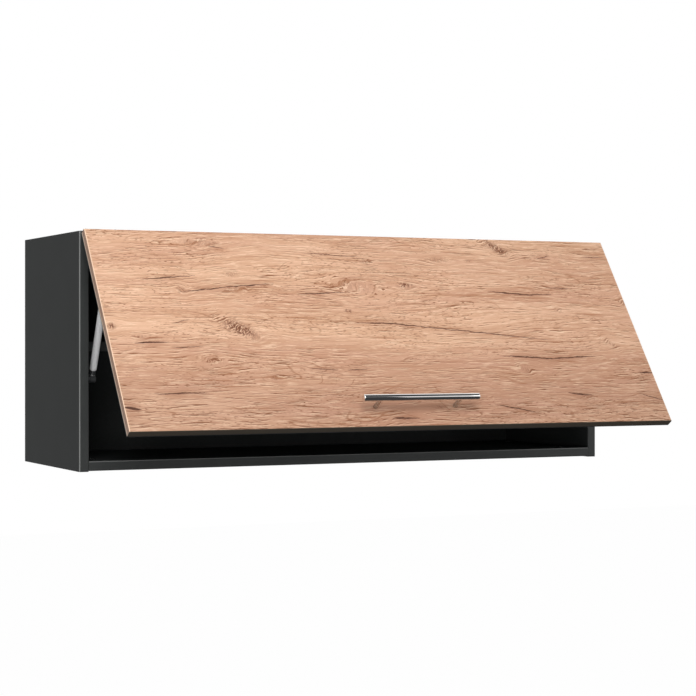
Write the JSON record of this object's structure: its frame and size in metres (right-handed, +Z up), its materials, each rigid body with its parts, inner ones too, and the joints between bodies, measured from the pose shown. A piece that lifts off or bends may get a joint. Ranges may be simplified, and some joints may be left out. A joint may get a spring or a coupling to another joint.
{
  "type": "lift up wall cabinet",
  "caption": "Wide, low wall cabinet in grey board with one top-hung wood door that lifts on gas struts and cup hinges, a bar handle, a shelf and hidden corner hangers.",
  "frame": {"origin": "middle of the top panel's rear edge, which lies on the wall", "axes": "+X to the right as seen from the front, +Y into the wall (the front faces -Y), +Z up"},
  "size_m": [1, 0.5729, 0.398],
  "materials": {
    "board": "dark grey melamine-faced particle board, matt",
    "back_board": "dark grey coated hardboard, matt",
    "edge_band": "dark grey edge banding, satin",
    "beech": "plain beech dowels",
    "door_wood": "brushed warm oak with knots and fine cracks, matt",
    "zinc": "nickel-plated",
    "steel": "zinc-plated",
    "handle_metal": "polished stainless steel",
    "hanger_plastic": "white moulded plastic",
    "socket_plastic": "dark grey moulded plastic",
    "strut_paint": "light grey gloss paint",
    "rod_steel": "polished rod",
    "buffer": "clear soft buffers"
  },
  "bodies": {
    "cabinet": {"left_side_panel": "board", "right_side_panel": "board", "top_panel": "board", "bottom_panel": "board", "back_panel": "back_board", "shelf": "board", "edge_bands": "edge_band", "cam_locks": "zinc", "cam_bolts": "steel", "dowels": "beech", "shelf_pins": "steel", "left_hanger": "hanger_plastic", "right_hanger": "hanger_plastic", "hanger_hooks": "steel", "hanger_screws": "steel", "left_wall_plate": "steel", "right_wall_plate": "steel", "left_hinge_arm": "zinc", "right_hinge_arm": "zinc", "left_hinge_plate": "zinc", "right_hinge_plate": "zinc", "hinge_arm_pins": "steel", "hinge_plate_screws": "steel", "left_side_bracket": "steel", "right_side_bracket": "steel", "side_bracket_screws": "steel"},
    "door": {"door_panel": "door_wood", "door_buffers": "buffer", "handle_bar": "handle_metal", "handle_posts": "handle_metal", "handle_screws": "steel", "left_hinge_cup": "zinc", "right_hinge_cup": "zinc", "left_hinge_cup_pins": "steel", "right_hinge_cup_pins": "steel", "hinge_cup_screws": "steel", "left_door_bracket": "steel", "right_door_bracket": "steel", "door_bracket_screws": "steel"},
    "left_short_link": {"left_short_link": "zinc"},
    "left_long_link": {"left_long_link": "zinc"},
    "left_strut_rod": {"left_strut_rod": "rod_steel", "left_upper_socket": "socket_plastic"},
    "left_strut_cylinder": {"left_strut_tube": "strut_paint", "left_strut_gland": "socket_plastic", "left_lower_socket": "socket_plastic", "left_side_ball": "steel"},
    "right_short_link": {"right_short_link": "zinc"},
    "right_long_link": {"right_long_link": "zinc"},
    "right_strut_rod": {"right_strut_rod": "rod_steel", "right_upper_socket": "socket_plastic"},
    "right_strut_cylinder": {"right_strut_tube": "strut_paint", "right_strut_gland": "socket_plastic", "right_lower_socket": "socket_plastic", "right_side_ball": "steel"}
  },
  "joints": [
    {"name": "door_hinge", "type": "hinge", "parent": "cabinet", "child": "door", "pos_m": [0, -0.3315, 0.0105], "axis": [-1, 0, 0], "range_deg": [-35, 45]},
    {"name": "left_short_link_pivot", "type": "hinge", "parent": "door", "child": "left_short_link", "pos_m": [-0.4, -0.33429, -0.00708], "axis": [-1, 0, 0], "range_deg": [-68, 53]},
    {"name": "left_long_link_pivot", "type": "hinge", "parent": "door", "child": "left_long_link", "pos_m": [-0.4, -0.33699, -0.01129], "axis": [-1, 0, 0], "range_deg": [-77.5, 60.5]},
    {"name": "left_strut_pivot", "type": "hinge", "parent": "door", "child": "left_strut_rod", "pos_m": [-0.464, -0.35175, -0.0681], "axis": [-1, 0, 0], "range_deg": [-52.5, 41]},
    {"name": "left_strut_slide", "type": "slide", "parent": "left_strut_rod", "child": "left_strut_cylinder", "axis": [0, 0.4246, -0.9054], "range_m": [-0.0443, 0.0569]},
    {"name": "right_short_link_pivot", "type": "hinge", "parent": "door", "child": "right_short_link", "pos_m": [0.4, -0.33429, -0.00708], "axis": [-1, 0, 0], "range_deg": [-68, 53]},
    {"name": "right_long_link_pivot", "type": "hinge", "parent": "door", "child": "right_long_link", "pos_m": [0.4, -0.33699, -0.01129], "axis": [-1, 0, 0], "range_deg": [-77.5, 60.5]},
    {"name": "right_strut_pivot", "type": "hinge", "parent": "door", "child": "right_strut_rod", "pos_m": [0.464, -0.35175, -0.0681], "axis": [-1, 0, 0], "range_deg": [-52.5, 41]},
    {"name": "right_strut_slide", "type": "slide", "parent": "right_strut_rod", "child": "right_strut_cylinder", "axis": [0, 0.4246, -0.9054], "range_m": [-0.0443, 0.0569]}
  ],
  "couplings": [
    {"joint": "left_short_link_pivot", "follows": "door_hinge", "ratio": -1.5},
    {"joint": "left_long_link_pivot", "follows": "door_hinge", "ratio": -1.71},
    {"joint": "left_strut_pivot", "follows": "door_hinge", "ratio": -1.1534},
    {"joint": "left_strut_slide", "follows": "door_hinge", "m_per_rad": 0.07212},
    {"joint": "right_short_link_pivot", "follows": "door_hinge", "ratio": -1.5},
    {"joint": "right_long_link_pivot", "follows": "door_hinge", "ratio": -1.71},
    {"joint": "right_strut_pivot", "follows": "door_hinge", "ratio": -1.1534},
    {"joint": "right_strut_slide", "follows": "door_hinge", "m_per_rad": 0.07212}
  ]
}
